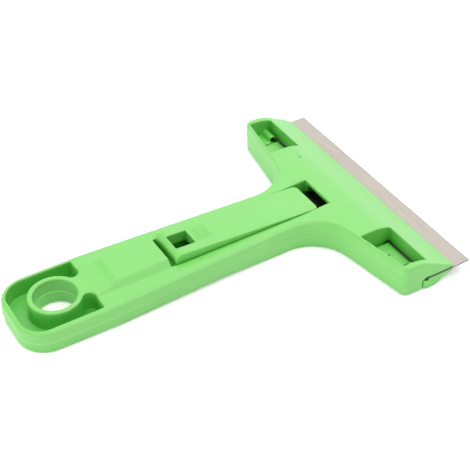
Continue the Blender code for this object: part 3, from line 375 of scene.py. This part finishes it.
def body_field(field, low, cell):
    """The body with soft rims round the pocket, crisper ones in front of it, a seam and a scar."""
    crisp_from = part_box("lever")[0].x - REST_ZONE
    field = blended(field, low, cell, TAIL_ROUND, HEAD_ROUND,
                    lambda x: ease(x, crisp_from - REST_BLEND, crisp_from))
    add_seam(field, low, cell)
    shares = [step / SCAR_STEPS for step in range(SCAR_STEPS + 1)]
    route = [SCAR_START * (1 - t) ** 2 + SCAR_BOW * 2 * t * (1 - t) + SCAR_END * t ** 2 for t in shares]
    depths = [SCAR_DEPTH * (SCAR_SHALLOW_SHARE + (1 - SCAR_SHALLOW_SHARE) * t) for t in shares]
    dent(field, low, cell, route, depths, SCAR_SPREAD)
    return field


def lever_field(field, low, cell):
    """The lever with soft edges and crisp grip ridges."""
    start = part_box("lever")[0].x + GRIP_START
    stop = start + GRIP_LENGTH
    return blended(field, low, cell, LEVER_ROUND, GRIP_ROUND,
                   lambda x: ease(x, start - GRIP_BLEND, start) * (1 - ease(x, stop, stop + GRIP_BLEND)))


def jaw_field(field, low, cell):
    """The jaw with softened edges and a pit in its hinge block."""
    field = soften(field, UNDER_ROUND / cell)
    dent(field, low, cell, [PIT_PLACE], [PIT_DEPTH], PIT_SPREAD)
    return field


def cover_field(field, low, cell):
    """The cover with softened edges."""
    return soften(field, UNDER_ROUND / cell)


def moulded(node, name, body, cell, shape):
    """A moulded piece that stands for a CAD node, with its field reshaped by a function."""
    points, triangles = corners_and_triangles(node)
    field, low = distance_field(points, triangles, cell)
    piece = surface_object(name, shape(field, low, cell), low, cell)
    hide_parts(node)
    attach(piece, body)
    return piece


def machined(node, name, body, edge):
    """A metal piece with small bevelled edges that stands for a CAD node."""
    points, triangles = corners_and_triangles(node)
    bm = bmesh.new()
    corners = [bm.verts.new(point) for point in points.tolist()]
    for triangle in triangles.tolist():
        bm.faces.new([corners[i] for i in triangle])
    bmesh.ops.dissolve_limit(bm, angle_limit=FLAT_ANGLE, verts=bm.verts, edges=bm.edges)
    mesh = bpy.data.meshes.new(name)
    bm.to_mesh(mesh)
    bm.free()
    mesh.shade_smooth()
    mesh.set_sharp_from_angle(angle=SHARP_ANGLE)
    piece = bpy.data.objects.new(name, mesh)
    bpy.context.scene.collection.objects.link(piece)
    bevel = piece.modifiers.new("edges", "BEVEL")
    bevel.width = edge
    bevel.segments = BEVEL_SEGMENTS
    bevel.limit_method = "ANGLE"
    bevel.angle_limit = BEVEL_ANGLE
    bevel.harden_normals = True
    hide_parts(node)
    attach(piece, body)
    return piece


class Tree:
    """A node tree under construction, with short names for its nodes."""

    def __init__(self, holder):
        holder.use_nodes = True
        self.tree = holder.node_tree

    def node(self, kind, **settings):
        made = self.tree.nodes.new(kind)
        for key, value in settings.items():
            setattr(made, key, value)
        return made

    def link(self, source, target):
        self.tree.links.new(source, target)

    def math(self, operation, *values):
        made = self.node("ShaderNodeMath", operation=operation)
        for socket, value in zip(made.inputs, values):
            if isinstance(value, (int, float)):
                socket.default_value = value
            else:
                self.link(value, socket)
        return made.outputs["Value"]

    def span(self, value, low, high, to_low=0.0, to_high=1.0, smooth=False):
        """A value carried from one range to another, clamped."""
        made = self.node("ShaderNodeMapRange")
        if smooth:
            made.interpolation_type = "SMOOTHSTEP"
        self.link(value, made.inputs["Value"])
        ends = {"From Min": low, "From Max": high, "To Min": to_low, "To Max": to_high}
        for socket, number in ends.items():
            if isinstance(number, (int, float)):
                made.inputs[socket].default_value = number
            else:
                self.link(number, made.inputs[socket])
        return made.outputs["Result"]


class Finish(Tree):
    """A material under construction."""

    def __init__(self, name):
        self.material = bpy.data.materials.new(name)
        super().__init__(self.material)
        self.shader = self.tree.nodes["Principled BSDF"]
        self.place = self.node("ShaderNodeTexCoord").outputs["Object"]

    def noise(self, scale, detail, stretch=(1.0, 1.0, 1.0), distortion=0.0):
        """A noise at the place, drawn out along the axes where stretch is small."""
        mapping = self.node("ShaderNodeMapping")
        mapping.inputs["Scale"].default_value = stretch
        self.link(self.place, mapping.inputs["Vector"])
        made = self.node("ShaderNodeTexNoise")
        made.inputs["Scale"].default_value = scale
        made.inputs["Detail"].default_value = detail
        made.inputs["Distortion"].default_value = distortion
        self.link(mapping.outputs["Vector"], made.inputs["Vector"])
        return made.outputs["Fac"]

    def mix(self, share, first, second):
        """A colour between two colours, each a tuple or a socket."""
        made = self.node("ShaderNodeMix", data_type="RGBA")
        self.link(share, made.inputs["Factor"])
        for number, colour in zip(MIX_INPUTS, (first, second)):
            if isinstance(colour, tuple):
                made.inputs[number].default_value = (*colour, 1.0)
            else:
                self.link(colour, made.inputs[number])
        return made.outputs[MIX_OUTPUT]

    def bump(self, height, strength, depth, under=None):
        """The normal of a rough surface, over another one where that is given."""
        made = self.node("ShaderNodeBump")
        made.inputs["Strength"].default_value = strength
        made.inputs["Distance"].default_value = depth
        self.link(height, made.inputs["Height"])
        if under:
            self.link(under, made.inputs["Normal"])
        return made.outputs["Normal"]

    def spot(self, place, radius, strength):
        """A soft round spot about a place."""
        away = self.node("ShaderNodeVectorMath", operation="DISTANCE")
        self.link(self.place, away.inputs[0])
        away.inputs[1].default_value = place
        return self.span(away.outputs["Value"], radius, SPOT_CORE_SHARE * radius, 0.0, strength, smooth=True)

    def line(self, height, width, strength, fade):
        """A soft level line at a height, which fades out along X."""
        parts = self.node("ShaderNodeSeparateXYZ")
        self.link(self.place, parts.inputs["Vector"])
        away = self.math("ABSOLUTE", self.math("SUBTRACT", parts.outputs["Z"], height))
        drawn = self.span(away, width, LINE_CORE_SHARE * width, 0.0, strength, smooth=True)
        return self.math("MULTIPLY", drawn, self.span(parts.outputs["X"], *fade, 1.0, 0.0))

    def narrow(self, reach, tight, wide):
        """Where shade is painted: 1 in narrow gaps, and 0 on open surfaces and where the object looks down
        at what it lies on.
        """
        shelter = self.node("ShaderNodeAmbientOcclusion", samples=GAP_SAMPLES)
        shelter.inputs["Distance"].default_value = reach
        facing = self.node("ShaderNodeSeparateXYZ")
        self.link(self.node("ShaderNodeNewGeometry").outputs["Normal"], facing.inputs["Vector"])
        closed = self.span(shelter.outputs["AO"], tight, wide, 1.0, 0.0)
        return self.math("MULTIPLY", closed, self.span(facing.outputs["Z"], *GAP_FACING))


def green_plastic():
    """Light green injection-moulded plastic with a satin surface."""
    finish = Finish("green_plastic")
    cloud = finish.noise(**PLASTIC_CLOUD)
    flow = finish.noise(**PLASTIC_FLOW)
    grain = finish.noise(**PLASTIC_GRAIN)
    dimple = finish.noise(**PLASTIC_DIMPLE)
    scuff = finish.noise(**PLASTIC_SCUFF)
    tint = finish.mix(finish.span(cloud, *TINT_RAMP), PLASTIC_DEEP, PLASTIC_LIGHT)
    tint = finish.mix(finish.span(flow, *PATCH_RAMP, 0.0, PALE_SHARE), tint, PLASTIC_PALE)
    # Painted highlight: a paler line at the seam's height
    seam = finish.line(PARTING_HEIGHT, SEAM_WIDTH, SEAM_STRENGTH, SEAM_FADE)
    tint = finish.mix(seam, tint, SEAM_HIGHLIGHT_COLOUR)
    # Painted shade in narrow gaps and recesses
    tint = finish.mix(finish.narrow(GAP_REACH, *GAP_EDGES), tint, GAP_SHADE_COLOUR)
    # Painted shade in the scar and the pit
    for place, radius, strength in DENT_SHADE_SPOTS:
        tint = finish.mix(finish.spot(place, radius, strength), tint, DENT_SHADE_COLOUR)
    finish.link(tint, finish.shader.inputs["Base Color"])
    rough = finish.span(cloud, *ROUGH_RAMP, *SATIN)
    rough = finish.math("ADD", rough, finish.span(grain, *GRAIN_RAMP, -GRAIN_ROUGH, GRAIN_ROUGH))
    rough = finish.math("ADD", rough, finish.span(scuff, *SCUFF_RAMP, 0.0, SCUFF_ROUGH))
    finish.link(rough, finish.shader.inputs["Roughness"])
    skin = finish.bump(dimple, *DIMPLE_BUMP)
    skin = finish.bump(grain, *GRAIN_BUMP, skin)
    finish.link(skin, finish.shader.inputs["Normal"])
    finish.shader.inputs["IOR"].default_value = PLASTIC_IOR
    finish.shader.inputs["Specular IOR Level"].default_value = PLASTIC_SHINE
    return finish.material


def steel(name, dark, light, rough, lines):
    """Brushed or ground steel from two tints, a roughness and the noise of its strokes."""
    finish = Finish(name)
    strokes = finish.noise(**lines)
    cloud = finish.noise(**STEEL_CLOUD)
    tint = finish.mix(finish.span(strokes, *TINT_RAMP), dark, light)
    stained = tuple(STEEL_STAIN * value for value in dark)
    tint = finish.mix(finish.span(cloud, *PATCH_RAMP, 0.0, STEEL_STAIN_SHARE), tint, stained)
    finish.link(tint, finish.shader.inputs["Base Color"])
    level = finish.span(strokes, *ROUGH_RAMP, *(rough + step for step in STEEL_SPREAD))
    finish.link(level, finish.shader.inputs["Roughness"])
    finish.link(finish.bump(strokes, *STEEL_BUMP), finish.shader.inputs["Normal"])
    finish.shader.inputs["Metallic"].default_value = 1.0
    return finish.material


def blade_steel():
    """Ground blade steel: faint strokes along the blade, a darker edge and dark sheared ends."""
    finish = Finish("blade_steel")
    low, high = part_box("blade")
    strokes = finish.noise(**BLADE_STROKES)
    speck = finish.noise(**BLADE_DUST)
    cloud = finish.noise(**BLADE_CLOUD)
    tint = finish.mix(finish.span(strokes, *TINT_RAMP), BLADE_DARK, BLADE_LIGHT)
    tint = finish.mix(finish.span(cloud, *PATCH_RAMP, 0.0, STAIN_SHARE), tint, BLADE_STAIN)
    tint = finish.mix(finish.span(speck, *SPECK_RAMP, 0.0, SPECK_SHARE), tint, BLADE_SPECK)
    axes = finish.node("ShaderNodeSeparateXYZ")
    finish.link(finish.place, axes.inputs[0])
    ground = finish.span(axes.outputs["X"], high.x - EDGE_WIDTH, high.x - EDGE_FULL_SHARE * EDGE_WIDTH)
    tint = finish.mix(ground, tint, BLADE_EDGE)
    across = finish.math("ABSOLUTE", axes.outputs["Y"])
    ends = finish.span(across, high.y - SHEAR_SKIN, high.y - SHEAR_FULL_SHARE * SHEAR_SKIN)
    tint = finish.mix(ends, tint, BLADE_SHEAR)
    finish.link(tint, finish.shader.inputs["Base Color"])
    level = finish.span(strokes, *ROUGH_RAMP, *BLADE_ROUGH)
    level = finish.math("ADD", level, finish.span(cloud, *DULL_RAMP, 0.0, BLADE_DULL))
    finish.link(level, finish.shader.inputs["Roughness"])
    finish.link(finish.bump(strokes, *BLADE_BUMP), finish.shader.inputs["Normal"])
    finish.shader.inputs["Metallic"].default_value = 1.0
    return finish.material


def floor_slope():
    """Rise over run of the plane that touches the tail's underside and the lowest line of the head."""
    corners = (corner.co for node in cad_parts.values() for corner in node.data.vertices)
    return min((co.z - TAIL_UNDERSIDE) / (co.x - cad_low.x) for co in corners if co.x > HEAD_REGION)


def make_floor():
    """A pale floor that the tail and the jaw's belly stand on, clear from below."""
    bm = bmesh.new()
    bmesh.ops.create_grid(bm, x_segments=FLOOR_GRID, y_segments=FLOOR_GRID, size=FLOOR_SIZE)
    mesh = bpy.data.meshes.new("floor")
    bm.to_mesh(mesh)
    bm.free()
    floor = bpy.data.objects.new("floor", mesh)
    bpy.context.scene.collection.objects.link(floor)
    floor.location = (cad_low.x, 0.0, TAIL_UNDERSIDE - FLOOR_GAP)
    floor.rotation_euler = (0.0, -atan(floor_slope()), 0.0)
    material = bpy.data.materials.new("floor")
    tree = Tree(material)
    tree.tree.nodes.clear()
    matt = tree.node("ShaderNodeBsdfDiffuse")
    matt.inputs["Color"].default_value = (*FLOOR_COLOUR, 1.0)
    glow = tree.node("ShaderNodeEmission")
    path = tree.node("ShaderNodeLightPath").outputs
    mirrored = tree.math("MULTIPLY", path["Is Glossy Ray"], FLOOR_GLOSS)
    added = tree.math("MULTIPLY_ADD", path["Is Camera Ray"], FLOOR_GLOW, mirrored)
    tree.link(added, glow.inputs["Strength"])
    lit = tree.node("ShaderNodeAddShader")
    tree.link(matt.outputs[0], lit.inputs[0])
    tree.link(glow.outputs[0], lit.inputs[1])
    sides = tree.node("ShaderNodeMixShader")
    tree.link(tree.node("ShaderNodeNewGeometry").outputs["Backfacing"], sides.inputs[0])
    tree.link(lit.outputs[0], sides.inputs[1])
    tree.link(tree.node("ShaderNodeBsdfTransparent").outputs[0], sides.inputs[2])
    tree.link(sides.outputs[0], tree.node("ShaderNodeOutputMaterial").inputs["Surface"])
    floor.data.materials.append(material)


def softbox(tree, way, azimuth, elevation, full, gone):
    """1 in the sky within an angle of a direction and 0 beyond another."""
    across, up = radians(azimuth), radians(elevation)
    towards = tree.node("ShaderNodeVectorMath", operation="DOT_PRODUCT")
    tree.link(way, towards.inputs[0])
    towards.inputs[1].default_value = (cos(across) * cos(up), sin(across) * cos(up), sin(up))
    return tree.span(towards.outputs["Value"], cos(radians(gone)), cos(radians(full)), smooth=True)


def make_world():
    """White to the camera, and to the object a soft sky with softboxes and a bright horizon."""
    world = bpy.data.worlds.new("studio")
    bpy.context.scene.world = world
    tree = Tree(world)
    sky = tree.tree.nodes["Background"]
    sky.inputs["Color"].default_value = (1.0, 1.0, 1.0, 1.0)
    way = tree.node("ShaderNodeTexCoord").outputs["Generated"]
    axes = tree.node("ShaderNodeSeparateXYZ")
    tree.link(way, axes.inputs[0])
    height = tree.math("ABSOLUTE", axes.outputs["Z"])
    start, stop = (sin(radians(angle)) for angle in HORIZON_EDGES)
    glow = tree.span(height, stop, start, smooth=True)
    matt = tree.math("MULTIPLY_ADD", glow, HORIZON_LEVEL, SKY_LEVEL)
    gloss = tree.math("MULTIPLY_ADD", glow, HORIZON_GLOSS, SKY_GLOSS)
    for azimuth, elevation, full, gone, level, gloss_level in SOFTBOXES:
        box = softbox(tree, way, azimuth, elevation, full, gone)
        matt = tree.math("MULTIPLY_ADD", box, level, matt)
        gloss = tree.math("MULTIPLY_ADD", box, gloss_level, gloss)
    path = tree.node("ShaderNodeLightPath").outputs
    seen = tree.math("MAXIMUM", path["Is Camera Ray"], path["Is Transmission Ray"])
    lit = tree.span(path["Is Glossy Ray"], 0.0, 1.0, matt, gloss)
    tree.link(tree.span(seen, 0.0, 1.0, lit, 1.0), sky.inputs["Strength"])


def make_camera():
    """The camera at the photograph's place."""
    back = Vector((
        sin(CAMERA_AZIMUTH) * cos(CAMERA_ELEVATION),
        -cos(CAMERA_AZIMUTH) * cos(CAMERA_ELEVATION),
        sin(CAMERA_ELEVATION),
    ))
    right = (-back).cross(Vector((0, 0, 1))).normalized()
    up = right.cross(-back)
    tilted_right = cos(CAMERA_ROLL) * right + sin(CAMERA_ROLL) * up
    tilted_up = cos(CAMERA_ROLL) * up - sin(CAMERA_ROLL) * right
    turn = Matrix((tilted_right, tilted_up, back)).transposed().to_4x4()
    data = bpy.data.cameras.new("camera")
    data.lens = CAMERA_LENS
    data.sensor_width = CAMERA_SENSOR
    data.clip_start = CAMERA_CLIP
    camera = bpy.data.objects.new("camera", data)
    bpy.context.scene.collection.objects.link(camera)
    camera.matrix_world = Matrix.Translation(CAMERA_AIM + back * CAMERA_DISTANCE) @ turn
    bpy.context.scene.camera = camera


def dress():
    """Build every visible piece and give it its material."""
    plastic = green_plastic()
    for node, name, body, cell, shape in (
        ("body", "body_shell", "root", BODY_CELL, body_field),
        ("lever", "lever_arm", "lever", LEVER_CELL, lever_field),
        ("clamp_jaw", "jaw", "jaw", UNDER_CELL, jaw_field),
        ("handle_cover", "cover", "root", UNDER_CELL, cover_field),
    ):
        moulded(node, name, body, cell, shape).data.materials.append(plastic)
    blade_skin = blade_steel()
    machined("blade", "blade_strip", "blade", BLADE_BEVEL).data.materials.append(blade_skin)
    pin_skin = steel("pin_steel", PIN_DARK, PIN_LIGHT, PIN_ROUGH, PIN_STROKES)
    for node in ("cover_screw_rear", "cover_screw_left", "cover_screw_right",
                 "lever_pin", "jaw_pin_left", "jaw_pin_right"):
        machined(node, node + "_fine", "root", PIN_BEVEL).data.materials.append(pin_skin)
    dark_skin = steel("spring_steel", SPRING_DARK, SPRING_LIGHT, SPRING_ROUGH, SPRING_STROKES)
    for node, name, body, edge in (
        ("pressure_plate", "wear_plate", "jaw", PLATE_BEVEL),
        ("return_spring", "leaf_spring", "root", SPRING_BEVEL),
    ):
        machined(node, name, body, edge).data.materials.append(dark_skin)


dress()
make_floor()
make_world()
make_camera()
bpy.context.scene.view_settings.view_transform = "Standard"
